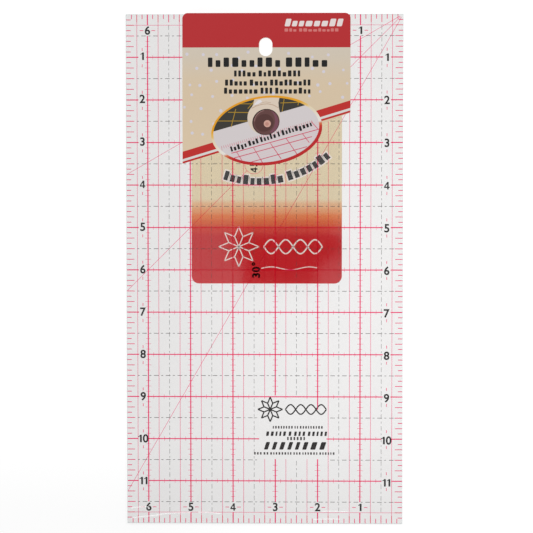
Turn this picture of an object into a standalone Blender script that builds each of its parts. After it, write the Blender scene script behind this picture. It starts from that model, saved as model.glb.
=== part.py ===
"""Quilting ruler: a clear acrylic 12 x 6 1/2 inch ruler in its folded hanging card.

The ruler lies flat. X is its width, with the zero of the cross scale at +X. Y is its length, with the
hanging end at +Y. Z is up. The origin is under the middle of the whole object, on the surface it lies on.
Everything is in metres.
"""

import math

import bmesh
import bpy
from mathutils import Vector

MM = 0.001
INCH = 0.0254

# The ruler plate
RULER_WIDTH = 6.5 * INCH
RULER_LENGTH = 12.0 * INCH
RULER_THICKNESS = 3.0 * MM

# The card: one sheet, folded square round the ruler's top edge
CARD_THICKNESS = 0.4 * MM
CARD_CENTRE_X = 1.2 * MM
FLAP_WIDTH = 100.0 * MM
FLAP_LEFT_DROP = 88.8 * MM
FLAP_RIGHT_DROP = 58.3 * MM
FLAP_TOP_RADIUS = 3.3 * MM
BACK_WIDTH = 90.0 * MM
BACK_DROP = 160.6 * MM
BACK_BOTTOM_RADIUS = 4.5 * MM
SPINE_WIDTH = FLAP_WIDTH - 2 * FLAP_TOP_RADIUS

# The oval that hangs below the flap's slanting edge. Drops are measured down from the ruler's top edge.
OVAL_CENTRE_X = 1.35 * MM
OVAL_DROP = 69.1 * MM
OVAL_HALF_LENGTH = 33.2 * MM
OVAL_HALF_HEIGHT = 20.6 * MM
OVAL_TILT = math.radians(6.7)

# The hanging slot, which goes through the card and the ruler
SLOT_CENTRE_X = 0.8 * MM
SLOT_DROP = 19.4 * MM
SLOT_WIDTH = 8.0 * MM
SLOT_HEIGHT = 11.0 * MM

# The glue dots between the back panel and the ruler
DOT_RADIUS = 4.5 * MM
DOT_SPACING = 72.4 * MM
DOT_DROP = 38.1 * MM
DOT_THICKNESS = 0.4 * MM

# The printed layer: frame lines a quarter inch in from the edges, and a line at every inch
PRINT_THICKNESS = 0.1 * MM
PRINT_LINE = 0.8 * MM
PRINT_INSET = 0.25 * INCH

# Clearances between neighbouring pieces
GAP = 0.3 * MM
DOT_GAP = 0.25 * MM

# Heights, from the surface up
BACK_TOP = CARD_THICKNESS
DOT_BOTTOM = BACK_TOP + DOT_GAP
RULER_BOTTOM = DOT_BOTTOM + DOT_THICKNESS + DOT_GAP
RULER_TOP = RULER_BOTTOM + RULER_THICKNESS
PRINT_TOP = RULER_BOTTOM - GAP
FLAP_BOTTOM = RULER_TOP + GAP
FLAP_TOP = FLAP_BOTTOM + CARD_THICKNESS
SPINE_BOTTOM = BACK_TOP + GAP
SPINE_TOP = FLAP_BOTTOM - GAP

# Places along the length. The spine's outer face is the object's +Y end.
SPINE_OUTER_Y = (RULER_LENGTH + GAP + CARD_THICKNESS) / 2
SPINE_INNER_Y = SPINE_OUTER_Y - CARD_THICKNESS
RULER_TOP_EDGE_Y = SPINE_INNER_Y - GAP
RULER_BOTTOM_EDGE_Y = RULER_TOP_EDGE_Y - RULER_LENGTH

OVAL_CENTRE = Vector((OVAL_CENTRE_X, RULER_TOP_EDGE_Y - OVAL_DROP))
OVAL_AXIS = Vector((math.cos(OVAL_TILT), math.sin(OVAL_TILT)))
OVAL_SIDE = Vector((-OVAL_AXIS.y, OVAL_AXIS.x))

ARC_STEPS = 8
SLOT_STEPS = 16
OVAL_STEPS = 40
WELD_DISTANCE = 1e-6

COLLECTION_NAME = "quilting_ruler"


def clear_scene():
    for obj in list(bpy.data.objects):
        bpy.data.objects.remove(obj, do_unlink=True)


def make_material(name, colour, roughness, alpha=1.0):
    """A Principled material with the part's own colour."""
    material = bpy.data.materials.new(name)
    material.use_nodes = True
    shader = material.node_tree.nodes["Principled BSDF"]
    shader.inputs["Base Color"].default_value = (*colour, 1.0)
    shader.inputs["Roughness"].default_value = roughness
    shader.inputs["Metallic"].default_value = 0.0
    shader.inputs["Alpha"].default_value = alpha
    material.diffuse_color = (*colour, alpha)
    return material


def arc(centre, radius, start, end, steps):
    """Points on a circle's arc from one angle to another, ends included."""
    angles = [start + (end - start) * i / steps for i in range(steps + 1)]
    return [centre + radius * Vector((math.cos(a), math.sin(a))) for a in angles]


def rectangle(low_x, low_y, high_x, high_y):
    """The corners of a rectangle, anticlockwise."""
    return [Vector(p) for p in ((low_x, low_y), (high_x, low_y), (high_x, high_y), (low_x, high_y))]


def slot_outline():
    """The hanging slot: two straight sides with half-round ends."""
    radius = SLOT_WIDTH / 2
    reach = (SLOT_HEIGHT - SLOT_WIDTH) / 2
    centre = Vector((SLOT_CENTRE_X, RULER_TOP_EDGE_Y - SLOT_DROP))
    upper = arc(centre + Vector((0, reach)), radius, 0, math.pi, SLOT_STEPS)
    lower = arc(centre - Vector((0, reach)), radius, math.pi, 2 * math.pi, SLOT_STEPS)
    return upper + lower


def back_panel_outline():
    """A rectangle with its two lower corners rounded, anticlockwise from the lower left."""
    left = CARD_CENTRE_X - BACK_WIDTH / 2
    right = CARD_CENTRE_X + BACK_WIDTH / 2
    bottom = RULER_TOP_EDGE_Y - BACK_DROP
    r = BACK_BOTTOM_RADIUS
    lower_left = arc(Vector((left + r, bottom + r)), r, math.pi, 1.5 * math.pi, ARC_STEPS)
    lower_right = arc(Vector((right - r, bottom + r)), r, 1.5 * math.pi, 2 * math.pi, ARC_STEPS)
    return lower_left + lower_right + [Vector((right, SPINE_OUTER_Y)), Vector((left, SPINE_OUTER_Y))]


def oval_point(angle):
    """The point of the tilted oval at this angle of its own circle."""
    along = OVAL_HALF_LENGTH * math.cos(angle)
    across = OVAL_HALF_HEIGHT * math.sin(angle)
    return OVAL_CENTRE + along * OVAL_AXIS + across * OVAL_SIDE


def oval_crossings(corner, direction):
    """The two angles of the oval's own circle where the line through corner crosses it, lower first."""
    normal = Vector((-direction.y, direction.x)).normalized()
    # An oval point's distance above the line is amplitude * cos(angle - phase) + the centre's distance
    cos_part = OVAL_HALF_LENGTH * normal.dot(OVAL_AXIS)
    sin_part = OVAL_HALF_HEIGHT * normal.dot(OVAL_SIDE)
    amplitude = math.hypot(cos_part, sin_part)
    phase = math.atan2(sin_part, cos_part)
    swing = math.acos(-normal.dot(OVAL_CENTRE - corner) / amplitude)
    return phase + swing, phase + 2 * math.pi - swing


def flap_outline():
    """The front flap, anticlockwise: a slanting lower edge with the oval below it, and round top corners."""
    left = CARD_CENTRE_X - FLAP_WIDTH / 2
    right = CARD_CENTRE_X + FLAP_WIDTH / 2
    lower_left = Vector((left, RULER_TOP_EDGE_Y - FLAP_LEFT_DROP))
    lower_right = Vector((right, RULER_TOP_EDGE_Y - FLAP_RIGHT_DROP))
    start, end = oval_crossings(lower_left, lower_right - lower_left)
    lobe = [oval_point(start + (end - start) * i / OVAL_STEPS) for i in range(OVAL_STEPS + 1)]
    r = FLAP_TOP_RADIUS
    top = SPINE_OUTER_Y
    upper_right = arc(Vector((right - r, top - r)), r, 0, 0.5 * math.pi, ARC_STEPS)
    upper_left = arc(Vector((left + r, top - r)), r, 0.5 * math.pi, math.pi, ARC_STEPS)
    return [lower_left] + lobe + [lower_right] + upper_right + upper_left


def print_windows():
    """The clear rectangles between the printed lines, and the outer edge of the print, as outlines."""
    left = -RULER_WIDTH / 2
    right = RULER_WIDTH / 2
    half = PRINT_LINE / 2
    columns = [right - PRINT_INSET] + [right - INCH * i for i in range(1, 7)] + [left + PRINT_INSET]
    rows = [RULER_TOP_EDGE_Y - PRINT_INSET]
    rows += [RULER_TOP_EDGE_Y - INCH * i for i in range(1, 12)]
    rows += [RULER_BOTTOM_EDGE_Y + PRINT_INSET]
    edge = rectangle(columns[-1] - half, rows[-1] - half, columns[0] + half, rows[0] + half)
    windows = [
        rectangle(x_low + half, y_low + half, x_high - half, y_high - half)
        for x_high, x_low in zip(columns, columns[1:])
        for y_high, y_low in zip(rows, rows[1:])
    ]
    return [edge] + windows


def curve_spline(curve, points):
    spline = curve.splines.new("POLY")
    spline.points.add(len(points) - 1)
    spline.use_cyclic_u = True
    for spline_point, point in zip(spline.points, points):
        spline_point.co = (point.x, point.y, 0.0, 1.0)


def plate(name, outlines, bottom, top, material, collection):
    """A flat piece: the first outline is its edge and the others are holes through it."""
    curve = bpy.data.curves.new(name + "_outline", "CURVE")
    curve.dimensions = "2D"
    curve.fill_mode = "BOTH"
    curve.extrude = (top - bottom) / 2
    for points in outlines:
        curve_spline(curve, points)
    guide = bpy.data.objects.new(name + "_outline", curve)
    collection.objects.link(guide)
    guide.location = (0, 0, (bottom + top) / 2)
    bpy.context.view_layer.update()

    evaluated = guide.evaluated_get(bpy.context.evaluated_depsgraph_get())
    mesh = bpy.data.meshes.new_from_object(evaluated)
    mesh.name = name
    shape = bmesh.new()
    shape.from_mesh(mesh)
    bmesh.ops.remove_doubles(shape, verts=shape.verts, dist=WELD_DISTANCE)
    bmesh.ops.recalc_face_normals(shape, faces=shape.faces)
    shape.to_mesh(mesh)
    shape.free()
    mesh.materials.clear()
    mesh.materials.append(material)

    obj = bpy.data.objects.new(name, mesh)
    obj.matrix_world = guide.matrix_world.copy()
    collection.objects.link(obj)
    bpy.data.objects.remove(guide, do_unlink=True)
    return obj


def spine_strip(material, collection):
    """The strip of card between the two creases, standing over the ruler's top edge."""
    mesh = bpy.data.meshes.new("card_spine")
    shape = bmesh.new()
    bmesh.ops.create_cube(shape, size=1.0)
    bmesh.ops.scale(shape, vec=(SPINE_WIDTH, CARD_THICKNESS, SPINE_TOP - SPINE_BOTTOM), verts=shape.verts)
    shape.to_mesh(mesh)
    shape.free()
    mesh.materials.append(material)
    obj = bpy.data.objects.new("card_spine", mesh)
    middle_y = (SPINE_OUTER_Y + SPINE_INNER_Y) / 2
    obj.location = (CARD_CENTRE_X, middle_y, (SPINE_BOTTOM + SPINE_TOP) / 2)
    collection.objects.link(obj)
    return obj


def glue_dot(name, centre_x, material, collection):
    """A round dot of clear removable adhesive."""
    mesh = bpy.data.meshes.new(name)
    shape = bmesh.new()
    bmesh.ops.create_cone(
        shape, cap_ends=True, segments=24, radius1=DOT_RADIUS, radius2=DOT_RADIUS, depth=DOT_THICKNESS
    )
    shape.to_mesh(mesh)
    shape.free()
    mesh.shade_smooth()
    mesh.set_sharp_from_angle(angle=math.radians(40))
    mesh.materials.append(material)
    obj = bpy.data.objects.new(name, mesh)
    obj.location = (centre_x, RULER_TOP_EDGE_Y - DOT_DROP, DOT_BOTTOM + DOT_THICKNESS / 2)
    collection.objects.link(obj)
    return obj


def crease(name, y, z, collection):
    """An empty on a crease's axis, which the pieces beyond the crease hang from."""
    empty = bpy.data.objects.new(name, None)
    empty.empty_display_size = 0.01
    empty.location = (CARD_CENTRE_X, y, z)
    collection.objects.link(empty)
    return empty


def attach(obj, parent):
    """Parents an object and keeps it where it is."""
    bpy.context.view_layer.update()
    obj.parent = parent
    obj.matrix_parent_inverse = parent.matrix_world.inverted()


def build():
    clear_scene()
    parts = bpy.data.collections.new(COLLECTION_NAME)
    bpy.context.scene.collection.children.link(parts)

    acrylic = make_material("acrylic_clear", (0.90, 0.92, 0.91), 0.05, alpha=0.25)
    ink = make_material("ink_pink", (0.85, 0.06, 0.18), 0.5)
    card_back = make_material("card_back_print", (0.62, 0.10, 0.08), 0.35)
    card_front = make_material("card_front_print", (0.66, 0.54, 0.37), 0.35)
    card_fold = make_material("card_fold_print", (0.50, 0.04, 0.05), 0.35)
    glue = make_material("glue_clear", (0.90, 0.90, 0.86), 0.3, alpha=0.6)

    half_width = RULER_WIDTH / 2
    ruler_edge = rectangle(-half_width, RULER_BOTTOM_EDGE_Y, half_width, RULER_TOP_EDGE_Y)
    slot = slot_outline()
    plate("ruler_plate", [ruler_edge, slot], RULER_BOTTOM, RULER_TOP, acrylic, parts)
    plate("printed_grid", print_windows(), PRINT_TOP - PRINT_THICKNESS, PRINT_TOP, ink, parts)
    for name, side in (("glue_dot_left", -1), ("glue_dot_right", 1)):
        glue_dot(name, CARD_CENTRE_X + side * DOT_SPACING / 2, glue, parts)

    back = plate("card_back_panel", [back_panel_outline(), slot], 0.0, BACK_TOP, card_back, parts)
    spine = spine_strip(card_fold, parts)
    flap = plate("card_front_flap", [flap_outline(), slot], FLAP_BOTTOM, FLAP_TOP, card_front, parts)

    back_crease = crease("back_crease", SPINE_OUTER_Y, 0.0, parts)
    front_crease = crease("front_crease", SPINE_OUTER_Y, FLAP_TOP, parts)
    attach(back_crease, back)
    attach(spine, back_crease)
    attach(front_crease, spine)
    attach(flap, front_crease)


build()
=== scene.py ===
import math
import random

import bmesh
import bpy
from mathutils import Matrix, Vector


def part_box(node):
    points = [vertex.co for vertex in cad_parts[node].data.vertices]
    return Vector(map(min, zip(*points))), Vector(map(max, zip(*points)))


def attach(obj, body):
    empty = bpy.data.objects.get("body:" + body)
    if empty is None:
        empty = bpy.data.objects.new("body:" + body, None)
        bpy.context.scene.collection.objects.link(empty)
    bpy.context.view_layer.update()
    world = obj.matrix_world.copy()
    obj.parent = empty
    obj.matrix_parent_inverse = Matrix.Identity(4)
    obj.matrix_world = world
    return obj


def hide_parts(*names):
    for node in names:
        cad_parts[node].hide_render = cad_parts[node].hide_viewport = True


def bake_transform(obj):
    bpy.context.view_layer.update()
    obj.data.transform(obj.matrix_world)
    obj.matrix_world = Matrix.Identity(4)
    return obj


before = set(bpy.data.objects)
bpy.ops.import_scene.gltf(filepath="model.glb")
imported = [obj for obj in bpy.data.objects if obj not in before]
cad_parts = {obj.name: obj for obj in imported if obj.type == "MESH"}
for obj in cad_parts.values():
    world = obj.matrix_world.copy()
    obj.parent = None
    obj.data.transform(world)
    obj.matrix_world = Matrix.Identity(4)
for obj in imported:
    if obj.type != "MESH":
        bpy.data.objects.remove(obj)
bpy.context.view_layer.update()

MM = 0.001
INCH = 0.0254
WELD = 0.2e-6
HALVINGS = 50

# ---------------------------------------------------------------------------
# Places, worked out from the frame
# ---------------------------------------------------------------------------

PLATE_LOW, PLATE_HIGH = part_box("ruler_plate")
FLAP_LOW, FLAP_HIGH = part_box("card_front_flap")
BACK_LOW, BACK_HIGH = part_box("card_back_panel")
SPINE_LOW, SPINE_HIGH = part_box("card_spine")

LEFT, RIGHT = PLATE_LOW.x, PLATE_HIGH.x
BOTTOM, TOP = PLATE_LOW.y, PLATE_HIGH.y
CARD_TOP = FLAP_HIGH.y
CARD_THICKNESS = BACK_HIGH.z - BACK_LOW.z
FOLD_RADIUS = CARD_TOP - TOP
FLAP_CORNER_RADIUS = SPINE_LOW.x - FLAP_LOW.x

# Measured in the photo against the ruler's own inches. Drops are measured down from the plate's top edge.
FLAP_LEFT_DROP = 88.8 * MM
FLAP_RIGHT_DROP = 58.3 * MM
BACK_CORNER_RADIUS = 4.5 * MM
OVAL_CENTRE = Vector((1.35 * MM, TOP - 69.1 * MM))
OVAL_HALF_LENGTH = 33.2 * MM
OVAL_HALF_HEIGHT = 20.6 * MM
OVAL_TILT = 6.7
SLOT_CENTRE = Vector((0.8 * MM, TOP - 19.4 * MM))
SLOT_WIDTH = 8.0 * MM
SLOT_HEIGHT = 11.0 * MM

# Each layer of ink is a step above the last one, and so is each layer of the card's print. The lowest layer
# of print lies a little below the card's face, so that the highest one hardly stands proud of it.
INK_THICKNESS = 0.012 * MM
INK_STEP = 0.02 * MM
PRINT_THICKNESS = 0.008 * MM
PRINT_STEP = 0.01 * MM
PRINT_DEPTH = 0.06 * MM
PRINT_CLEARANCE = 0.001 * MM


# ---------------------------------------------------------------------------
# Outlines
# ---------------------------------------------------------------------------

def heading(degrees):
    """The unit vector at this many degrees from +X."""
    return Vector((math.cos(math.radians(degrees)), math.sin(math.radians(degrees))))


def turned(x, y, degrees):
    """A place turned by degrees about the origin."""
    return x * heading(degrees) + y * heading(degrees + 90)


def arc(centre, radius, start, end, steps=12):
    return [Vector(centre) + radius * heading(start + (end - start) * i / steps) for i in range(steps + 1)]


def circle(centre, radius, steps=40):
    return arc(centre, radius, 0, 360, steps)[:-1]


def box(low_x, low_y, high_x, high_y):
    return [Vector(p) for p in ((low_x, low_y), (high_x, low_y), (high_x, high_y), (low_x, high_y))]


def bar(x, y, width, height):
    """A rectangle about its middle."""
    return box(x - width / 2, y - height / 2, x + width / 2, y + height / 2)


def stroke(start, end, width):
    """The four corners of a straight line of this width."""
    side = (end - start).normalized().orthogonal() * width / 2
    return [start - side, end - side, end + side, start + side]


def slot_outline():
    reach = Vector((0, (SLOT_HEIGHT - SLOT_WIDTH) / 2))
    upper = arc(SLOT_CENTRE + reach, SLOT_WIDTH / 2, 0, 180, 20)
    lower = arc(SLOT_CENTRE - reach, SLOT_WIDTH / 2, 180, 360, 20)
    return upper + lower


def oval_point(angle, inset=0.0):
    x = (OVAL_HALF_LENGTH - inset) * math.cos(angle)
    y = (OVAL_HALF_HEIGHT - inset) * math.sin(angle)
    return OVAL_CENTRE + turned(x, y, OVAL_TILT)


def oval(inset=0.0, steps=96):
    return [oval_point(2 * math.pi * i / steps, inset) for i in range(steps)]


def oval_inside():
    """The edge of the oval's picture: its ring is widest at the lower right."""
    return [p + Vector((-0.25, 0.3)) * MM for p in oval(1.55 * MM)]


def slant_y(x, lift=0.0):
    """Height of the flap's slanting lower edge at x, moved up by lift."""
    share = (x - FLAP_LOW.x) / (FLAP_HIGH.x - FLAP_LOW.x)
    return TOP - FLAP_LEFT_DROP + share * (FLAP_LEFT_DROP - FLAP_RIGHT_DROP) + lift


def clip(points, inside_of):
    """A polygon cut to a convex anticlockwise outline."""
    for i, a in enumerate(inside_of):
        edge = inside_of[(i + 1) % len(inside_of)] - a
        kept = []
        for j, p in enumerate(points):
            q = points[(j + 1) % len(points)]
            side_p = edge.cross(p - a)
            side_q = edge.cross(q - a)
            if side_p >= 0:
                kept.append(p)
            if side_p * side_q < 0:
                kept.append(p.lerp(q, side_p / (side_p - side_q)))
        points = kept
        if not points:
            return []
    return points


def flap_ears():
    """The flap's top edge, right and left: a round corner, and the end of the fold's line."""
    r = FLAP_CORNER_RADIUS
    fold_y = CARD_TOP - FOLD_RADIUS
    right_ear = arc((FLAP_HIGH.x - r, CARD_TOP - r), r, 0, 90) + [Vector((SPINE_HIGH.x, fold_y))]
    left_ear = [Vector((SPINE_LOW.x, fold_y))] + arc((FLAP_LOW.x + r, CARD_TOP - r), r, 90, 180)
    return right_ear + left_ear


def flap_outline(oval_steps=64):
    """The flap's edge: slanting lower edge, oval lobe, square sides, and ears beside the fold at the top."""
    def height(angle):
        p = oval_point(angle)
        return p.y - slant_y(p.x)

    def crossing(above, below):
        """The angle at which the oval crosses the slanting edge, by halving."""
        for _ in range(HALVINGS):
            middle = (above + below) / 2
            if height(middle) > 0:
                above = middle
            else:
                below = middle
        return below

    start = crossing(math.pi, 1.5 * math.pi)
    end = crossing(2 * math.pi, 1.5 * math.pi)
    lobe = [oval_point(start + (end - start) * i / oval_steps) for i in range(oval_steps + 1)]
    lower_left = Vector((FLAP_LOW.x, slant_y(FLAP_LOW.x)))
    lower_right = Vector((FLAP_HIGH.x, slant_y(FLAP_HIGH.x)))
    return [lower_left] + lobe + [lower_right] + flap_ears()


def back_outline():
    """The back panel's edge: round lower corners, and the fold's line at the top."""
    r = BACK_CORNER_RADIUS
    fold_y = CARD_TOP - FOLD_RADIUS
    lower_left = arc((BACK_LOW.x + r, BACK_LOW.y + r), r, 180, 270)
    lower_right = arc((BACK_HIGH.x - r, BACK_LOW.y + r), r, 270, 360)
    return lower_left + lower_right + [Vector((BACK_HIGH.x, fold_y)), Vector((BACK_LOW.x, fold_y))]


# ---------------------------------------------------------------------------
# Materials
# ---------------------------------------------------------------------------

# What the studio's light and the gloss make of a printed colour, above and under the acrylic
CARD_LIGHT, CARD_VEIL = 1.12, 0.022
UNDER_LIGHT, UNDER_VEIL = 0.76, 0.035
DARKEST_PRINT = 0.004

PRINT_ROUGHNESS = 0.42
PRINT_MOTTLE = 0.06
PRINT_FINE_NOISE = 2200.0
PRINT_BROAD_NOISE = 60.0
INK_NOISE = 1500.0
ACRYLIC_IOR = 1.49


def linear(red, green, blue):
    """A colour given as 0 to 255 display values, as the shaders take it."""
    channels = []
    for value in (red, green, blue):
        v = value / 255
        channels.append(v / 12.92 if v <= 0.04045 else ((v + 0.055) / 1.055) ** 2.4)
    return (*channels, 1.0)


def printed_for(colour, veil, light):
    """The print that looks this colour once the light has multiplied it and the gloss has veiled it."""
    return (*(max(DARKEST_PRINT, (c - veil) / light) for c in colour[:3]), 1.0)


def shown(red, green, blue):
    """The print that looks this display colour in the studio's light."""
    return printed_for(linear(red, green, blue), CARD_VEIL, CARD_LIGHT)


def shown_under(red, green, blue):
    """The print that looks this display colour through the acrylic."""
    return printed_for(linear(red, green, blue), UNDER_VEIL, UNDER_LIGHT)


def new_tree(name):
    material = bpy.data.materials.new(name)
    material.use_nodes = True
    tree = material.node_tree
    tree.nodes.clear()
    return material, tree


def node(tree, kind, values=None, **settings):
    """A node with its settings, and its sockets given a value or a link."""
    made = tree.nodes.new(kind)
    for key, value in settings.items():
        setattr(made, key, value)
    for key, value in (values or {}).items():
        socket = made.inputs[key]
        if isinstance(value, bpy.types.NodeSocket):
            tree.links.new(value, socket)
        else:
            socket.default_value = value
    return made


def object_coords(tree):
    return node(tree, "ShaderNodeTexCoord").outputs["Object"]


def noise(tree, scale, detail=3.0, coords=None):
    values = {"Vector": coords or object_coords(tree), "Scale": scale, "Detail": detail}
    return node(tree, "ShaderNodeTexNoise", values).outputs["Fac"]


def spread(tree, value, low, high):
    """A 0 to 1 value mapped to low to high."""
    values = {"Value": value, "From Min": 0.25, "From Max": 0.75, "To Min": low, "To Max": high}
    return node(tree, "ShaderNodeMapRange", values).outputs["Result"]


def bump(tree, height, distance, strength=0.5):
    values = {"Height": height, "Distance": distance, "Strength": strength}
    return node(tree, "ShaderNodeBump", values).outputs["Normal"]


def mixed_colour(tree, share, first, second, blend="MIX"):
    made = node(tree, "ShaderNodeMix", data_type="RGBA", blend_type=blend)
    for index, value in ((0, share), (6, first), (7, second)):
        if isinstance(value, bpy.types.NodeSocket):
            tree.links.new(value, made.inputs[index])
        else:
            made.inputs[index].default_value = value
    return made.outputs[2]


def mixed_shader(tree, share, first, second):
    return node(tree, "ShaderNodeMixShader", {0: share, 1: first.outputs[0], 2: second.outputs[0]})


def finish_surface(tree, shader):
    node(tree, "ShaderNodeOutputMaterial", {"Surface": shader.outputs[0]})


def darker(colour, share):
    return (*(c * share for c in colour[:3]), 1.0)


def coated_card(tree, tone, grain, unevenness):
    """The printed card's sheen: half matt, slightly uneven, with a faint grain."""
    shader = node(tree, "ShaderNodeBsdfPrincipled", {
        "Base Color": tone,
        "Roughness": spread(tree, unevenness, PRINT_ROUGHNESS - 0.04, PRINT_ROUGHNESS + 0.04),
        "Specular IOR Level": 0.15,
        "Normal": bump(tree, grain, 0.01 * MM, 0.25),
    })
    finish_surface(tree, shader)


def print_material(name, colour):
    """Coated card printed in one colour, with a fine mottle in the ink and a broad, fainter one."""
    material, tree = new_tree(name)
    coords = object_coords(tree)
    fine = spread(tree, noise(tree, PRINT_FINE_NOISE, 2.0, coords), 0.0, 1.0)
    broad = spread(tree, noise(tree, PRINT_BROAD_NOISE, 2.0, coords), 0.0, 1.0)
    tone = mixed_colour(tree, fine, darker(colour, 1 - PRINT_MOTTLE), colour)
    tone = mixed_colour(tree, broad, darker(colour, 1 - PRINT_MOTTLE / 2), tone)
    coated_card(tree, tone, fine, broad)
    return material


def printed(name, red, green, blue):
    """The material of one printed colour, given as it looks in the studio's light."""
    return print_material("print_" + name, shown(red, green, blue))


def board_material(name, colour):
    """Uncoated board: matt, with fibres and a few darker specks."""
    material, tree = new_tree(name)
    coords = object_coords(tree)
    stretched = node(tree, "ShaderNodeMapping", {"Vector": coords, "Scale": (1.0, 0.35, 1.0)})
    fibres = spread(tree, noise(tree, 1800.0, 4.0, stretched.outputs[0]), 0.0, 1.0)
    specks = node(tree, "ShaderNodeMapRange", {
        "Value": noise(tree, 900.0, 1.0, coords),
        "From Min": 0.70,
        "From Max": 0.76,
    })
    tone = mixed_colour(tree, fibres, darker(colour, 0.90), colour)
    tone = mixed_colour(tree, specks.outputs["Result"], tone, darker(colour, 0.55))
    shader = node(tree, "ShaderNodeBsdfPrincipled", {
        "Base Color": tone,
        "Roughness": spread(tree, fibres, 0.78, 0.92),
        "Normal": bump(tree, fibres, 0.02 * MM, 0.4),
    })
    finish_surface(tree, shader)
    return material


def gradient_material(name, direction, stops):
    """Coated card whose printed colour changes along a direction. stops are (place in metres, colour)."""
    material, tree = new_tree(name)
    coords = object_coords(tree)
    along = node(tree, "ShaderNodeVectorMath", {0: coords, 1: direction}, operation="DOT_PRODUCT")
    first, last = stops[0][0], stops[-1][0]
    values = {"Value": along.outputs["Value"], "From Min": first, "From Max": last}
    place = node(tree, "ShaderNodeMapRange", values).outputs["Result"]
    ramp = node(tree, "ShaderNodeValToRGB", {"Fac": place})
    ramp.color_ramp.interpolation = "EASE"
    while len(ramp.color_ramp.elements) < len(stops):
        ramp.color_ramp.elements.new(0.5)
    for element, (where, colour) in zip(ramp.color_ramp.elements, stops):
        element.position = (where - first) / (last - first)
    for element, (where, colour) in zip(ramp.color_ramp.elements, stops):
        element.color = colour
    fine = spread(tree, noise(tree, PRINT_FINE_NOISE, 2.0, coords), 0.94, 1.0)
    tone = mixed_colour(tree, 1.0, ramp.outputs["Color"], fine, "MULTIPLY")
    coated_card(tree, tone, fine, noise(tree, PRINT_BROAD_NOISE, 2.0, coords))
    return material


def two_sided_fresnel(tree):
    """How much a clear face mirrors, the same seen from the air or from inside the plate."""
    ior = node(tree, "ShaderNodeMapRange", {
        "Value": node(tree, "ShaderNodeNewGeometry").outputs["Backfacing"],
        "To Min": ACRYLIC_IOR,
        "To Max": 1 / ACRYLIC_IOR,
    })
    return node(tree, "ShaderNodeFresnel", {"IOR": ior.outputs["Result"]}).outputs["Fac"]


def acrylic_face_material():
    """The plate's polished faces: clear, slightly grey, glossy, and a little hazy from handling."""
    material, tree = new_tree("acrylic_face")
    coords = object_coords(tree)
    haze = noise(tree, 35.0, 4.0, coords)
    tint = mixed_colour(tree, haze, (0.902, 0.898, 0.896, 1.0), (0.890, 0.886, 0.884, 1.0))
    clear = node(tree, "ShaderNodeBsdfTransparent", {"Color": tint})
    gloss = node(tree, "ShaderNodeBsdfGlossy", {
        "Color": (1.0, 1.0, 1.0, 1.0),
        "Roughness": spread(tree, haze, 0.03, 0.07),
    })
    finish_surface(tree, mixed_shader(tree, two_sided_fresnel(tree), clear, gloss))
    return material


def acrylic_edge_material():
    """The laser-cut edge: glassy, faintly ribbed by the cut, and a little bluer than the faces."""
    material, tree = new_tree("acrylic_edge")
    coords = object_coords(tree)
    ribs = node(tree, "ShaderNodeMapping", {"Vector": coords, "Scale": (1.0, 1.0, 0.04)})
    rib = noise(tree, 2600.0, 2.0, ribs.outputs[0])
    normal = bump(tree, rib, 0.03 * MM, 0.6)
    body = node(tree, "ShaderNodeBsdfDiffuse", {
        "Color": mixed_colour(tree, rib, (0.58, 0.62, 0.63, 1.0), (0.78, 0.81, 0.81, 1.0)),
        "Normal": normal,
    })
    clear = node(tree, "ShaderNodeBsdfTransparent", {"Color": (0.90, 0.93, 0.93, 1.0)})
    gloss = node(tree, "ShaderNodeBsdfGlossy", {"Roughness": 0.12, "Normal": normal})
    inner = mixed_shader(tree, 0.38, clear, body)
    finish_surface(tree, mixed_shader(tree, two_sided_fresnel(tree), inner, gloss))
    return material


def film_ink_material(name, passed, solid):
    """Translucent screen ink: a colour filter with a little body. passed is what a layer lets through."""
    material, tree = new_tree(name)
    grain = spread(tree, noise(tree, INK_NOISE, 2.0), 0.0, 1.0)
    per_face = (*(math.sqrt(c) for c in passed), 1.0)
    thinner = (*(min(1.0, c * 1.10) for c in per_face[:3]), 1.0)
    filter_colour = mixed_colour(tree, grain, per_face, thinner)
    clear = node(tree, "ShaderNodeBsdfTransparent", {"Color": filter_colour})
    body_colour = mixed_colour(tree, grain, solid, darker(solid, 0.9))
    body = node(tree, "ShaderNodeBsdfDiffuse", {"Color": body_colour})
    finish_surface(tree, mixed_shader(tree, 0.06, clear, body))
    return material


def solid_ink_material(name, colour):
    """Opaque screen ink with a slightly uneven coat."""
    material, tree = new_tree(name)
    grain = spread(tree, noise(tree, INK_NOISE, 2.0), 0.0, 1.0)
    shader = node(tree, "ShaderNodeBsdfPrincipled", {
        "Base Color": mixed_colour(tree, grain, colour, darker(colour, 0.75)),
        "Roughness": spread(tree, grain, 0.39, 0.51),
        "Specular IOR Level": 0.0,
    })
    finish_surface(tree, shader)
    return material


def glue_material():
    """Clear tacky glue: milky, glossy and slightly lumpy."""
    material, tree = new_tree("glue_clear")
    lumps = noise(tree, 500.0, 3.0)
    milk = node(tree, "ShaderNodeBsdfDiffuse", {
        "Color": mixed_colour(tree, lumps, (0.80, 0.80, 0.74, 1.0), (0.90, 0.90, 0.86, 1.0)),
    })
    clear = node(tree, "ShaderNodeBsdfTransparent", {"Color": (0.95, 0.95, 0.92, 1.0)})
    gloss = node(tree, "ShaderNodeBsdfGlossy", {"Roughness": 0.2, "Normal": bump(tree, lumps, 0.05 * MM)})
    inner = mixed_shader(tree, 0.35, clear, milk)
    finish_surface(tree, mixed_shader(tree, two_sided_fresnel(tree), inner, gloss))
    return material


# ---------------------------------------------------------------------------
# Mesh makers
# ---------------------------------------------------------------------------

def add_object(name, mesh, materials, body):
    for material in materials:
        mesh.materials.append(material)
    obj = bpy.data.objects.new(name, mesh)
    bpy.context.scene.collection.objects.link(obj)
    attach(obj, body)
    return obj


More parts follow.
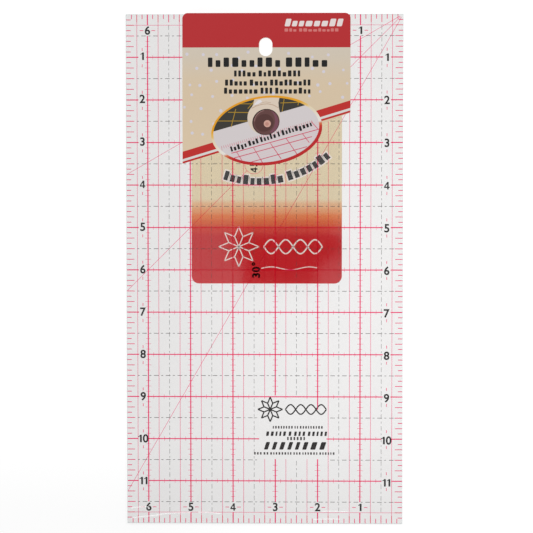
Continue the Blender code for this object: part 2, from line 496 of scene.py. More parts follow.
def evaluated_mesh(curve):
    """The mesh that a curve or a text makes. The curve itself is removed."""
    guide = bpy.data.objects.new(curve.name, curve)
    bpy.context.scene.collection.objects.link(guide)
    bpy.context.view_layer.update()
    mesh = bpy.data.meshes.new_from_object(guide.evaluated_get(bpy.context.evaluated_depsgraph_get()))
    bpy.data.objects.remove(guide, do_unlink=True)
    bpy.data.curves.remove(curve)
    return mesh


def finished_mesh(shape, name):
    """A new mesh from a bmesh of closed solids, with its normals outwards."""
    bmesh.ops.recalc_face_normals(shape, faces=shape.faces)
    mesh = bpy.data.meshes.new(name)
    shape.to_mesh(mesh)
    shape.free()
    return mesh


def smooth_round(mesh):
    """Smooth shading on the round stretches only."""
    mesh.shade_smooth()
    mesh.set_sharp_from_angle(angle=math.radians(35))


def sheet_mesh(name, outlines, bottom, top):
    """A flat closed solid from an edge and any holes, filled as a 2D curve."""
    curve = bpy.data.curves.new(name + "_outline", "CURVE")
    curve.dimensions = "2D"
    curve.fill_mode = "BOTH"
    curve.extrude = (top - bottom) / 2
    for points in outlines:
        spline = curve.splines.new("POLY")
        spline.points.add(len(points) - 1)
        spline.use_cyclic_u = True
        for spline_point, point in zip(spline.points, points):
            spline_point.co = (point[0], point[1], 0.0, 1.0)
    mesh = evaluated_mesh(curve)
    mesh.name = name
    shape = bmesh.new()
    shape.from_mesh(mesh)
    bmesh.ops.remove_doubles(shape, verts=shape.verts, dist=WELD)
    bmesh.ops.translate(shape, vec=(0, 0, (bottom + top) / 2), verts=shape.verts)
    bmesh.ops.recalc_face_normals(shape, faces=shape.faces)
    shape.to_mesh(mesh)
    shape.free()
    return mesh


def slabs(name, polygons, top, thickness, material, body):
    """Many thin closed solids with convex outlines, as one piece."""
    vertices, faces = [], []
    for points in polygons:
        if len(points) < 3:
            continue
        first, count = len(vertices), len(points)
        vertices += [(p[0], p[1], top - thickness) for p in points]
        vertices += [(p[0], p[1], top) for p in points]
        faces.append([first + i for i in reversed(range(count))])
        faces.append([first + count + i for i in range(count)])
        for i in range(count):
            j = (i + 1) % count
            faces.append([first + i, first + j, first + count + j, first + count + i])
    mesh = bpy.data.meshes.new(name)
    mesh.from_pydata(vertices, [], faces)
    mesh.update()
    return add_object(name, mesh, [material], body)


def ink(name, polygons, layer, material):
    """Printed marks, keyed into the plate's underside. No two layers share a plane."""
    top = PLATE_LOW.z + (layer + 2) * INK_STEP
    return without_shadow(slabs(name, polygons, top, INK_THICKNESS, material, "ruler"))


def without_shadow(obj):
    """The photo's ground is lit evenly, so that what lies close above it throws no shadow."""
    obj.visible_shadow = False
    obj.visible_diffuse = False
    return obj


# ---------------------------------------------------------------------------
# Marks: numbers and unreadable type
# ---------------------------------------------------------------------------

# Shares of a line's height, of a block's width and of the usual block, for the unreadable type
LOW_LETTER = 0.72
DESCENDER = 0.22
BLOCK_ROUNDING = 0.18
WORD_SPACE = 0.43

FONT_CAP_HEIGHT = 0.66
FONT_WEIGHT = 0.042
LABEL_WEIGHT = 0.062


def digit_one(height):
    """A bold 1 with a flag, as two overlapping polygons about its own left edge."""
    stem = 0.25 * height
    left = 0.22 * height
    flag = [(0.0, 0.70), (0.0, 0.80), (0.16, 0.88), (0.26, 1.0), (0.30, 1.0), (0.30, 0.80)]
    return [box(left, 0.0, left + stem, height), [Vector(p) * height for p in reversed(flag)]], left + stem


def digit_four(height):
    """A bold 4 from a stem, a bar and a slanting stroke."""
    stem = box(0.40 * height, 0.0, 0.60 * height, height)
    bar = box(0.0, 0.20 * height, 0.74 * height, 0.37 * height)
    slant = [Vector(p) * height for p in ((0.0, 0.37), (0.17, 0.37), (0.60, 1.0), (0.40, 1.0))]
    return [stem, bar, slant], 0.74 * height


DRAWN_DIGITS = {"1": digit_one, "4": digit_four}


def glyph_mesh(text, height, weight):
    """One glyph's filled outline from the built-in font, thickened by a share of its height."""
    curve = bpy.data.curves.new("glyph", "FONT")
    curve.body = text
    curve.size = height / FONT_CAP_HEIGHT
    curve.offset = weight * height
    curve.resolution_u = 6
    return evaluated_mesh(curve)


def text_mesh(labels, height, top, thickness, weight=FONT_WEIGHT):
    """Closed thin solids for labels, each (text, centre x, centre y, turn in degrees)."""
    shape = bmesh.new()
    gap = 0.13 * height
    for text, centre_x, centre_y, turn in labels:
        pen = 0.0
        made = []
        for letter in text:
            before = set(shape.verts)
            if letter in DRAWN_DIGITS:
                polygons, width = DRAWN_DIGITS[letter](height)
                for points in polygons:
                    corners = [shape.verts.new((p.x + pen, p.y, 0)) for p in points]
                    shape.faces.new(corners)
            else:
                mesh = glyph_mesh(letter, height, weight)
                low = min(v.co.x for v in mesh.vertices)
                width = max(v.co.x for v in mesh.vertices) - low
                mesh.transform(Matrix.Translation((pen - low, 0.0, 0.0)))
                shape.from_mesh(mesh)
                bpy.data.meshes.remove(mesh)
            made += [v for v in shape.verts if v not in before]
            pen += width + gap
        width = pen - gap
        for v in made:
            place = Vector((centre_x, centre_y)) + turned(v.co.x - width / 2, v.co.y - height / 2, turn)
            v.co = (*place, top)
    bmesh.ops.remove_doubles(shape, verts=shape.verts, dist=WELD)
    for face in shape.faces:
        if face.normal.z < 0:
            face.normal_flip()
    faces = list(shape.faces)
    lower = bmesh.ops.extrude_face_region(shape, geom=faces, use_keep_orig=True)
    moved = [g for g in lower["geom"] if isinstance(g, bmesh.types.BMVert)]
    bmesh.ops.translate(shape, vec=(0, 0, -thickness), verts=moved)
    return finished_mesh(shape, "labels")


def type_blocks(words, width, height, seed, slant=0.0, tall=0.35, gap=0.32, hang=0.05):
    """A line of unreadable type, from its left end on the baseline: rounded blocks, grouped as words.

    A block is high at the start of a word and by the chance tall. By the chance hang, it goes below the line.
    gap is the space between blocks and slant the lean, as shares of a block's width and height.
    """
    chooser = random.Random(seed)
    widths = []
    for letters in words:
        widths.append([chooser.uniform(0.75, 1.15) for _ in range(letters)])
    space = WORD_SPACE + gap
    total = sum(sum(w) + gap * (len(w) - 1) for w in widths) + space * (len(words) - 1)
    unit = width / total
    polygons = []
    pen = 0.0
    for word in widths:
        for i, share in enumerate(word):
            low, high = 0.0, LOW_LETTER * height
            kind = chooser.random()
            if i == 0 or kind < tall:
                high = height
            elif kind > 1.0 - hang:
                low = -DESCENDER * height
            right = pen + share * unit
            corner = BLOCK_ROUNDING * share * unit
            points = []
            for x, y, turn in ((right, high, 0), (pen, high, 90), (pen, low, 180), (right, low, 270)):
                inner_x = x - corner if x == right else x + corner
                inner_y = y - corner if y == high else y + corner
                points += arc((inner_x, inner_y), corner, turn, turn + 90, 3)
            polygons.append([Vector((p.x + slant * p.y, p.y)) for p in points])
            pen = right + gap * unit
        pen += (space - gap) * unit
    return polygons


def placed(polygons, origin, turn=0.0):
    """Polygons turned by degrees and moved to origin."""
    return [[Vector(origin) + turned(p.x, p.y, turn) for p in points] for points in polygons]


def ribbon(points, width):
    """Quads of an even ribbon along a smooth path, sharing their ends so that none overlap."""
    sides = []
    for i, p in enumerate(points):
        along = points[min(i + 1, len(points) - 1)] - points[max(i - 1, 0)]
        side = along.normalized().orthogonal() * width / 2
        sides.append((p - side, p + side))
    return [[a[0], b[0], b[1], a[1]] for a, b in zip(sides, sides[1:])]


def quilt_star(centre, radius, width):
    """The outlines of an eight-pointed patchwork star: eight diamonds round a centre, as strokes."""
    strokes = []
    waist = radius / (2 * math.cos(math.radians(22.5)))
    for angle in range(0, 360, 45):
        tip = centre + radius * heading(angle)
        near = centre + waist * heading(angle + 22.5)
        far = centre + waist * heading(angle - 22.5)
        strokes += [stroke(centre, near, width), stroke(near, tip, width), stroke(tip, far, width)]
    return strokes


def leaf_chain(start, length, leaves, half_height, width):
    """A row of quilted leaves, end to end along +X: two bowed lines that cross between the leaves."""
    steps = 12 * leaves
    strokes = []
    for side in (1, -1):
        points = []
        for i in range(steps + 1):
            share = i / steps
            y = start[1] + side * half_height * math.sin(math.pi * leaves * share)
            points.append(Vector((start[0] + length * share, y)))
        strokes += ribbon(points, width)
    return strokes


# ---------------------------------------------------------------------------
# The ruler
# ---------------------------------------------------------------------------

def across(inches):
    """X of a place so many inches from the right edge, where the cross scale starts."""
    return RIGHT - inches * INCH


def down(inches):
    """Y of a place so many inches below the top edge."""
    return TOP - inches * INCH


RULER_COLUMNS = 6
RULER_ROWS = 11
WIDTH_INCHES = 6.5
LENGTH_INCHES = 12.0
FRAME_INSET = 0.25
NUMBER_INSET = 0.375
GRID_INSET = 0.5
NUMBER_HEIGHT = 4.5 * MM
EDGE_ROUNDING = 0.22 * MM

# Widths of the printed lines, and lengths of the small ticks on the inch lines
LONG_LINE = 0.70 * MM
CROSS_LINE = 0.66 * MM
QUARTER_LINE = 0.30 * MM
FRAME_LINE = 0.26 * MM
SMALL_TICK = 0.22 * MM
QUARTER_TICK, EIGHTH_TICK = 3.5 * MM, 2.6 * MM
LONG_DASH = 0.22 * MM
CROSS_DASH = 0.31 * MM
ANGLE_LINE = 0.28 * MM
NUMBER_DASH = 0.4 * MM

# Half the room a number takes on its line, in inches, and the short dashes beside the numbers: their length,
# and how far their middles are from where the number belongs
ONE_DIGIT_HALF, TWO_DIGIT_HALF = 0.092, 0.115
SIDE_DASH_LENGTH, SIDE_DASH_ABOVE, SIDE_DASH_BELOW = 1.8 * MM, 4.6 * MM, 5.0 * MM
END_DASH_LENGTH, END_DASH_BESIDE = 2.2 * MM, 3.5 * MM

# The angle labels stand on the dashed line in the middle, each so many inches from the top
LABEL_HEIGHT = 4.15 * MM
ANGLE_LABEL_ACROSS = 3.5
ANGLE_LABEL_DOWN = {60: 2.02, 45: 3.52, 30: 6.00}
ANGLE_LABEL_SHIFT = {60: 0.0, 45: 0.0, 30: 1.3 * MM}
ANGLE_LABEL_GAP = 0.28
ANGLE_RING_RADIUS = 5.5 * MM

# The grid is left out where the maker's block is printed
BLOCK_RIGHT, BLOCK_LEFT = 1.79, 3.38
BLOCK_TOP, BLOCK_BOTTOM = 9.05, 10.48
TICK_MARGIN = 0.1
DASH_CLEARANCE = 0.03
BLOCK_ART_DOWN = 9.30
BLOCK_STROKE = 0.8 * MM


def build_plate(face_material, edge_material):
    outlines = [box(LEFT, BOTTOM, RIGHT, TOP), slot_outline()]
    mesh = sheet_mesh("ruler_acrylic", outlines, PLATE_LOW.z, PLATE_HIGH.z)
    shape = bmesh.new()
    shape.from_mesh(mesh)
    bmesh.ops.dissolve_limit(shape, angle_limit=math.radians(0.1), verts=shape.verts, edges=shape.edges)
    sharp = [e for e in shape.edges if len(e.link_faces) == 2 and e.calc_face_angle() > math.radians(40)]
    bmesh.ops.bevel(shape, geom=sharp, offset=EDGE_ROUNDING, segments=2, profile=0.5, affect="EDGES")
    shape.to_mesh(mesh)
    shape.free()
    middle = (PLATE_LOW.z + PLATE_HIGH.z) / 2
    half = (PLATE_HIGH.z - PLATE_LOW.z) / 2
    for polygon in mesh.polygons:
        flat = abs(polygon.normal.z) > 0.999 and abs(abs(polygon.center.z - middle) - half) < 1e-6
        polygon.material_index = 0 if flat else 1
    plate = add_object("ruler_acrylic", mesh, [face_material, edge_material], "ruler")
    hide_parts("ruler_plate")


def cut_out(low, high, gaps):
    """The stretches of low to high that are left between gaps, each (low, high)."""
    pieces = [(low, high)]
    for gap_low, gap_high in gaps:
        kept = []
        for a, b in pieces:
            if gap_high <= a or gap_low >= b:
                kept.append((a, b))
                continue
            if a < gap_low:
                kept.append((a, gap_low))
            if gap_high < b:
                kept.append((gap_high, b))
        pieces = kept
    return pieces


def in_block(inches_across, inches_down, margin=0.0):
    return (BLOCK_RIGHT - margin < inches_across < BLOCK_LEFT + margin
            and BLOCK_TOP - margin < inches_down < BLOCK_BOTTOM + margin)


def long_line(inches_across, stretches, width):
    """A line along the ruler, as rectangles, one for each stretch of inches from the top."""
    x = across(inches_across)
    return [box(x - width / 2, down(b), x + width / 2, down(a)) for a, b in stretches]


def cross_line(inches_down, stretches, width):
    """A line across the ruler, one rectangle for each stretch of inches from the right edge."""
    y = down(inches_down)
    return [box(across(b), y - width / 2, across(a), y + width / 2) for a, b in stretches]


def line_gaps(inches_across):
    """The stretches along which a long line stops for the maker's block and for the hanging hole."""
    gaps = []
    if BLOCK_RIGHT < inches_across < BLOCK_LEFT:
        gaps.append((BLOCK_TOP, BLOCK_BOTTOM))
    if abs(across(inches_across) - SLOT_CENTRE.x) < SLOT_WIDTH / 2 + 0.5 * MM:
        middle = (TOP - SLOT_CENTRE.y) / INCH
        half = (SLOT_HEIGHT / 2 + 0.5 * MM) / INCH
        gaps.append((middle - half, middle + half))
    return gaps


def build_inch_lines(material):
    """The strong lines at every inch. They stop for the numbers and for the maker's block."""
    lines = []
    for i in range(1, RULER_COLUMNS + 1):
        gaps = [(FRAME_INSET, GRID_INSET), (LENGTH_INCHES - GRID_INSET, LENGTH_INCHES - FRAME_INSET)]
        if i == 2:
            gaps.append((9.3, BLOCK_BOTTOM))
        if i == 3:
            gaps.append((8.97, BLOCK_BOTTOM))
        lines += long_line(i, cut_out(0.0, LENGTH_INCHES, gaps), LONG_LINE)
    ink("ink_inch_lines_long", lines, 0, material)
    rows = []
    for i in range(1, RULER_ROWS + 1):
        half = TWO_DIGIT_HALF if i > 9 else ONE_DIGIT_HALF
        gaps = [(NUMBER_INSET - half, NUMBER_INSET + half)]
        gaps.append((WIDTH_INCHES - NUMBER_INSET - half, WIDTH_INCHES - NUMBER_INSET + half))
        if i == 10:
            gaps.append((BLOCK_RIGHT, BLOCK_LEFT))
        rows += cross_line(i, cut_out(0.0, WIDTH_INCHES, gaps), CROSS_LINE)
    ink("ink_inch_lines_cross", rows, 1, material)


def build_quarter_lines(material):
    lines = []
    count = int(2 * WIDTH_INCHES)
    for i in range(count):
        inches = 0.25 + 0.5 * i
        lines += long_line(inches, cut_out(0.0, LENGTH_INCHES, line_gaps(inches)), QUARTER_LINE)
    ink("ink_quarter_lines", lines, 2, material)
    frame_lines = []
    for inches in (FRAME_INSET, LENGTH_INCHES - FRAME_INSET):
        frame_lines += cross_line(inches, [(0.0, WIDTH_INCHES)], FRAME_LINE)
    ink("ink_frame_lines", frame_lines, 3, material)


def edge_tick(i):
    """Length and width of the tick i eighths of an inch from the end."""
    if i % 4 == 0:
        return 4.7 * MM, 0.46 * MM
    if i % 2 == 0:
        return 4.5 * MM, 0.44 * MM
    return 2.7 * MM, 0.46 * MM


def build_edge_ticks(material):
    ticks = []
    for i in range(1, int(LENGTH_INCHES * 8)):
        if i % 8 == 0:
            continue
        length, width = edge_tick(i)
        y = down(i / 8)
        ticks.append(box(LEFT, y - width / 2, LEFT + length, y + width / 2))
        ticks.append(box(RIGHT - length, y - width / 2, RIGHT, y + width / 2))
    for i in range(1, int(WIDTH_INCHES * 8)):
        if i % 8 == 0:
            continue
        length, width = edge_tick(i)
        x = across(i / 8)
        ticks.append(box(x - width / 2, TOP - length, x + width / 2, TOP))
        ticks.append(box(x - width / 2, BOTTOM, x + width / 2, BOTTOM + length))
    ink("ink_edge_ticks", ticks, 4, material)


def build_cross_ticks(material):
    ticks = []
    for i in range(1, RULER_COLUMNS + 1):
        for j in range(1, int(LENGTH_INCHES * 8)):
            inches = j / 8
            on_scale = not GRID_INSET < inches < LENGTH_INCHES - GRID_INSET
            if j % 4 == 0 or on_scale or in_block(i, inches, TICK_MARGIN):
                continue
            length = QUARTER_TICK if j % 2 == 0 else EIGHTH_TICK
            ticks.append(bar(across(i), down(inches), length, SMALL_TICK))
    for i in range(1, RULER_ROWS + 1):
        for j in range(1, int(WIDTH_INCHES * 8)):
            inches = j / 8
            on_scale = not GRID_INSET < inches < WIDTH_INCHES - GRID_INSET
            if j % 2 == 0 or on_scale or in_block(inches, i, TICK_MARGIN):
                continue
            ticks.append(bar(across(inches), down(i), SMALL_TICK, EIGHTH_TICK))
    ink("ink_cross_ticks", ticks, 5, material)


# A long dash and a short one, each with the gap that follows it
DASHES = ((2.8 * MM, 1.6 * MM), (1.2 * MM, 1.45 * MM))
DASH_MARGIN = 5.2 * MM


def dashes(low, high):
    """Long and short dashes, by turns, from low to high, in metres."""
    stretches = []
    pen = low
    while pen < high:
        for length, gap in DASHES:
            if pen < high:
                stretches.append((pen, min(pen + length, high)))
            pen += length + gap
    return stretches


def build_dashes(material):
    lines = []
    for i in range(int(WIDTH_INCHES)):
        inches = 0.5 + i
        x = across(inches)
        for a, b in dashes(FRAME_INSET * INCH, (LENGTH_INCHES - FRAME_INSET) * INCH):
            middle = (a + b) / 2 / INCH
            near_label = any(abs(middle - y) <= ANGLE_LABEL_GAP for y in ANGLE_LABEL_DOWN.values())
            under_label = inches == ANGLE_LABEL_ACROSS and near_label
            if under_label or in_block(inches, middle, DASH_CLEARANCE):
                continue
            lines.append(bar(x, TOP - (a + b) / 2, LONG_DASH, b - a))
    ink("ink_dashes_long", lines, 6, material)
    rows = []
    for i in range(int(LENGTH_INCHES)):
        inches = 0.5 + i
        y = down(inches)
        for a, b in dashes(DASH_MARGIN, WIDTH_INCHES * INCH - DASH_MARGIN):
            if in_block((a + b) / 2 / INCH, inches, DASH_CLEARANCE):
                continue
            rows.append(bar(RIGHT - (a + b) / 2, y, b - a, CROSS_DASH))
    ink("ink_dashes_cross", rows, 7, material)


def build_angle_lines(material):
    """Lines at 30, 45 and 60 degrees below the top edge, from the top right corner to the left edge."""
    corner = Vector((RIGHT, TOP))
    for layer, (angle, label_down) in enumerate(((30, 60), (45, 45), (60, 30))):
        direction = -heading(angle)
        reach = (RIGHT - LEFT) / math.cos(math.radians(angle)) - 0.4 * MM
        label = Vector((across(ANGLE_LABEL_ACROSS), down(ANGLE_LABEL_DOWN[label_down])))
        label_at = (label - corner).dot(direction)
        half_gap = ANGLE_RING_RADIUS + 0.1 * MM if angle == 45 else 3.4 * MM
        strokes = []
        for a, b in cut_out(2.2 * MM, reach, [(label_at - half_gap, label_at + half_gap)]):
            strokes.append(stroke(corner + direction * a, corner + direction * b, ANGLE_LINE))
        ink("ink_angle_line_%d" % angle, strokes, 8 + layer, material)
    label = Vector((across(ANGLE_LABEL_ACROSS), down(ANGLE_LABEL_DOWN[45])))
    ring = circle(label, ANGLE_RING_RADIUS, 48)
    ink("ink_angle_ring", ribbon(ring + ring[:1], ANGLE_LINE), 11, material)


def build_numbers(material, label_material, dash_material):
    """The numbers along all four sides, each between two short dashes, and the labels of the angle lines."""
    labels = []
    marks = []
    # Each inch's side number lies a little further below its line: where the drop starts, and its growth
    drift = {NUMBER_INSET: (0.05 * MM, 0.08 * MM), WIDTH_INCHES - NUMBER_INSET: (-0.70 * MM, 0.07 * MM)}
    for i in range(1, RULER_ROWS + 1):
        for inches, (first, step) in drift.items():
            x, y = across(inches), down(i)
            labels.append((str(i), x, y - first - step * i, 0))
            for lift in (SIDE_DASH_ABOVE, -SIDE_DASH_BELOW):
                marks.append(bar(x, y + lift, NUMBER_DASH, SIDE_DASH_LENGTH))
    for i in range(1, RULER_COLUMNS + 1):
        for inches in (NUMBER_INSET, LENGTH_INCHES - NUMBER_INSET):
            x, y = across(i), down(inches)
            labels.append((str(i), x, y, 0))
            for shift in (-END_DASH_BESIDE, END_DASH_BESIDE):
                marks.append(bar(x + shift, y, END_DASH_LENGTH, NUMBER_DASH))
    top = PLATE_LOW.z + INK_STEP
    mesh = text_mesh(labels, NUMBER_HEIGHT, top, INK_THICKNESS)
    without_shadow(add_object("ink_numbers", mesh, [material], "ruler"))
    ink("ink_number_dashes", marks, 12, dash_material)
    angles = []
    for angle, inches in ANGLE_LABEL_DOWN.items():
        x = across(ANGLE_LABEL_ACROSS) + ANGLE_LABEL_SHIFT[angle]
        angles.append(("%d°" % angle, x, down(inches), 90))
    mesh = text_mesh(angles, LABEL_HEIGHT, top, INK_THICKNESS, LABEL_WEIGHT)
    without_shadow(add_object("ink_angle_labels", mesh, [label_material], "ruler"))


# Painted highlights: pale streaks by the bottom edge that stand for the glints of crinkled clear film
HIGHLIGHT_STREAK_WIDTH = 0.55 * MM
HIGHLIGHT_STREAK_THICKNESS = 0.008 * MM
HIGHLIGHT_STREAK_TOP = PLATE_HIGH.z + 0.012 * MM

# Three points that steer each painted highlight streak's curve, in millimetres
PAINTED_HIGHLIGHT_STREAKS = (
    ((-80.2, -143.6), (-75.0, -142.6), (-69.5, -142.9)),
    ((-80.0, -149.6), (-72.0, -148.4), (-63.0, -147.9)),
    ((-65.5, -147.6), (-56.0, -146.3), (-44.5, -146.2)),
    ((-40.0, -146.0), (-33.0, -145.9), (-26.5, -146.8)),
    ((29.0, -150.2), (37.0, -149.6), (46.0, -149.9)),
    ((34.5, -145.2), (43.0, -144.9), (51.0, -145.6)),
)


def build_scuffs():
    """Faint pale painted highlights by the bottom edge, for the glints of crinkled clear film, as thin bent
    strips on the plate's face.
    """
    material, tree = new_tree("acrylic_painted_highlight")
    grain = spread(tree, noise(tree, 700.0, 3.0), 0.1, 0.5)
    clear = node(tree, "ShaderNodeBsdfTransparent", {"Color": (1.0, 1.0, 1.0, 1.0)})
    # The pale body of the painted highlight streaks
    haze = node(tree, "ShaderNodeBsdfDiffuse", {"Color": (0.95, 0.95, 0.95, 1.0)})
    finish_surface(tree, mixed_shader(tree, grain, clear, haze))
    strips = []
    for first, middle, last in PAINTED_HIGHLIGHT_STREAKS:
        a, b, c = (Vector(p) * MM for p in (first, middle, last))
        path = [a.lerp(b, t).lerp(b.lerp(c, t), t) for t in (i / 12 for i in range(13))]
        strips += ribbon(path, HIGHLIGHT_STREAK_WIDTH)
    highlight_streaks = slabs("acrylic_painted_highlights", strips, HIGHLIGHT_STREAK_TOP, HIGHLIGHT_STREAK_THICKNESS, material, "ruler")
    without_shadow(highlight_streaks)


def build_maker_block(material, pale_material):
    """A generic stand-in for the maker's block: a patchwork star, quilted leaves and unreadable type."""
    star = quilt_star(Vector((across(3.12), down(BLOCK_ART_DOWN))), 7.4 * MM, BLOCK_STROKE)
    leaves = leaf_chain((across(2.76), down(BLOCK_ART_DOWN)), 24.5 * MM, 4, 2.9 * MM, BLOCK_STROKE)
    ink("ink_block_star", star + leaves, 0, material)
    # Each line's left end and baseline in inches, its length in inches and height in mm, the letters of its
    # words, its lean, its seed and its ink
    lines = (
        (3.06, 9.755, 1.18, 1.6, (8, 2, 9), 0.0, 1, pale_material),
        (3.22, 9.930, 1.43, 2.7, (5, 1, 3, 5), 0.15, 2, material),
        (2.72, 10.030, 0.42, 2.0, (6,), 0.0, 3, pale_material),
        (3.27, 10.255, 1.42, 4.6, (8,), 0.32, 4, material),
        (3.50, 10.375, 1.90, 1.5, (3, 2, 8, 3, 6, 6), 0.0, 5, pale_material),
    )
    for i, (start, base, width, height, words, slant, seed, ink_material) in enumerate(lines):
        blocks = type_blocks(words, width * INCH, height * MM, seed, slant, 1.0, 0.85)
        ink("ink_block_type_%d" % (i + 1), placed(blocks, (across(start), down(base))), 0, ink_material)


def build_ruler():
    build_plate(acrylic_face_material(), acrylic_edge_material())
    strong = film_ink_material("ink_pink_strong", (0.96, 0.05, 0.20), linear(232, 60, 105))
    pale = film_ink_material("ink_pink_fine", (0.97, 0.14, 0.30), linear(235, 95, 135))
    black = solid_ink_material("ink_black", linear(38, 34, 34))
    grey = solid_ink_material("ink_black_fine", linear(72, 66, 66))
    build_inch_lines(strong)
    build_quarter_lines(pale)
    build_edge_ticks(strong)
    build_cross_ticks(pale)
    build_dashes(grey)
    build_angle_lines(pale)
    build_numbers(black, solid_ink_material("ink_black_bold", linear(9, 6, 6)), strong)
    build_maker_block(black, grey)
    build_scuffs()
    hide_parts("printed_grid")


# ---------------------------------------------------------------------------
# The card
# ---------------------------------------------------------------------------

HEADER_DROP = 19.75 * MM
BACK_ART_DROP = 138.5 * MM

RED = shown(180, 55, 58)
STRIPE_RED = shown(188, 58, 55)
LILAC = shown(209, 204, 213)
TYPE_BLACK = shown(44, 38, 36)


def flap_layer(name, polygons, layer, material):
    """Printed shapes on the flap's face. A higher layer lies on a lower one."""
    top = FLAP_HIGH.z - PRINT_DEPTH + (layer + 1) * PRINT_STEP
    layer = slabs(name, polygons, top, PRINT_THICKNESS, material, "card_flap")
    return without_shadow(layer)


def flap_sheet(name, outlines, bottom, top, material):
    """A sheet of the flap, with any outline."""
    mesh = sheet_mesh(name, outlines, bottom, top)
    return without_shadow(add_object(name, mesh, [material], "card_flap"))


def back_layer(name, polygons, layer, material):
    """Printed shapes on the back panel's upper face, which shows through the ruler."""
    top = BACK_HIGH.z - PRINT_DEPTH + (layer + 1) * PRINT_STEP
    return slabs(name, polygons, top, PRINT_THICKNESS, material, "card_back")


def slant_band(low, high):
    """A band parallel to the flap's slanting edge, between two heights above it."""
    corners = ((FLAP_LOW.x, low), (FLAP_HIGH.x, low), (FLAP_HIGH.x, high), (FLAP_LOW.x, high))
    return [Vector((x, slant_y(x, lift))) for x, lift in corners]


def outside_oval(points, side):
    """A slanting band cut off where it meets the oval, on the left or the right of it."""
    low_left, low_right, high_right, high_left = points

    def meet(a, b):
        """Where the line from a, outside the oval, to b, inside it, crosses the oval's edge."""
        for _ in range(HALVINGS):
            middle = a.lerp(b, 0.5)
            p = turned(*(middle - OVAL_CENTRE), -OVAL_TILT)
            if Vector((p.x / OVAL_HALF_LENGTH, p.y / OVAL_HALF_HEIGHT)).length > 1:
                a = middle
            else:
                b = middle
        return a

    def at_centre(low, high):
        return low.lerp(high, (OVAL_CENTRE.x - low.x) / (high.x - low.x))

    steps = 6
    rows = [i / steps for i in range(steps + 1)]
    ends = []
    for share in rows:
        left = low_left.lerp(high_left, share)
        right = low_right.lerp(high_right, share)
        centre = at_centre(left, right)
        ends.append((left, meet(left, centre)) if side == "left" else (meet(right, centre), right))
    return [[a[0], a[1], b[1], b[0]] for a, b in zip(ends, ends[1:])]


DOT_RADIUS = 0.92 * MM
DOT_PITCH = 9.6 * MM
DOT_ROW_PITCH = 0.84 * DOT_PITCH
DOT_ROWS, DOT_COLUMNS = 8, 11
DOT_START = Vector((FLAP_LOW.x + 3 * MM, TOP - 24 * MM))


def flap_dots():
    """Small scattered dots: a jittered hexagonal grid over the cream field."""
    chooser = random.Random(11)
    dots = []
    for row in range(DOT_ROWS):
        for column in range(DOT_COLUMNS):
            x = DOT_START.x + (column + 0.5 * (row % 2)) * DOT_PITCH + chooser.uniform(-2.8, 2.8) * MM
            y = DOT_START.y - row * DOT_ROW_PITCH + chooser.uniform(-2.4, 2.4) * MM
            near_slot = abs(x - SLOT_CENTRE.x) < 6 * MM and y > DOT_START.y - 4 * MM
            inside = FLAP_LOW.x + DOT_RADIUS < x < FLAP_HIGH.x - DOT_RADIUS
            over_stripes = y - slant_y(x) > 9 * MM
            if inside and over_stripes and not near_slot:
                dots.append(circle((x, y), DOT_RADIUS * chooser.uniform(0.85, 1.1), 14))
    return dots


def build_fold(name, centre_z, start, materials):
    """A quarter bend of card round the ruler's top edge. materials are the outside's and the inside's."""
    centre_y = CARD_TOP - FOLD_RADIUS
    inner = FOLD_RADIUS - CARD_THICKNESS
    steps = 10
    shape = bmesh.new()
    rings = []
    for i in range(steps + 1):
        angle = math.radians(start + 90 * i / steps)
        c, s = math.cos(angle), math.sin(angle)
        ring = []
        for x, radius in (
            (SPINE_LOW.x, inner),
            (SPINE_HIGH.x, inner),
            (SPINE_HIGH.x, FOLD_RADIUS),
            (SPINE_LOW.x, FOLD_RADIUS),
        ):
            ring.append(shape.verts.new((x, centre_y + radius * c, centre_z + radius * s)))
        rings.append(ring)
    for a, b in zip(rings, rings[1:]):
        for i in range(4):
            j = (i + 1) % 4
            face = shape.faces.new((a[i], a[j], b[j], b[i]))
            face.material_index = 0 if i == 2 else 1
    shape.faces.new(rings[0]).material_index = 1
    shape.faces.new(rings[-1]).material_index = 1
    mesh = finished_mesh(shape, name)
    smooth_round(mesh)
    for material in materials:
        mesh.materials.append(material)
    fold = bpy.data.objects.new(name, mesh)
    bpy.context.scene.collection.objects.link(fold)
    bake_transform(fold)
    return fold


def build_spine_and_folds(board, red):
    middle_x = (SPINE_LOW.x + SPINE_HIGH.x) / 2
    low_z = BACK_LOW.z + FOLD_RADIUS
    high_z = FLAP_HIGH.z - FOLD_RADIUS
    shape = bmesh.new()
    bmesh.ops.create_cube(shape, size=1.0)
    size = (SPINE_HIGH.x - SPINE_LOW.x, CARD_THICKNESS, high_z - low_z)
    bmesh.ops.scale(shape, vec=size, verts=shape.verts)
    centre = (middle_x, CARD_TOP - CARD_THICKNESS / 2, (low_z + high_z) / 2)
    bmesh.ops.translate(shape, vec=centre, verts=shape.verts)
    rows = [e for e in shape.edges if abs(e.verts[0].co.z - e.verts[1].co.z) > 1e-6]
    bmesh.ops.subdivide_edges(shape, edges=rows, cuts=3)
    mesh = finished_mesh(shape, "card_spine_board")
    for polygon in mesh.polygons:
        polygon.material_index = 0 if polygon.normal.y > 0.5 else 1
    spine = add_object("card_spine_board", mesh, [red, board], "card_spine")
    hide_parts("card_spine")
    build_fold("card_back_fold", low_z, -90, [board, board])
    build_fold("card_front_fold", high_z, 0, [red, board])


def oval_place(x, y):
    """A point of the oval's picture, given in millimetres right of and above its centre."""
    return OVAL_CENTRE + Vector((x, y)) * MM


def picture(name, polygons, layer, material):
    window = oval_inside()
    shapes = [clip([oval_place(*p) for p in points], window) for points in polygons]
    flap_layer(name, shapes, layer, material)


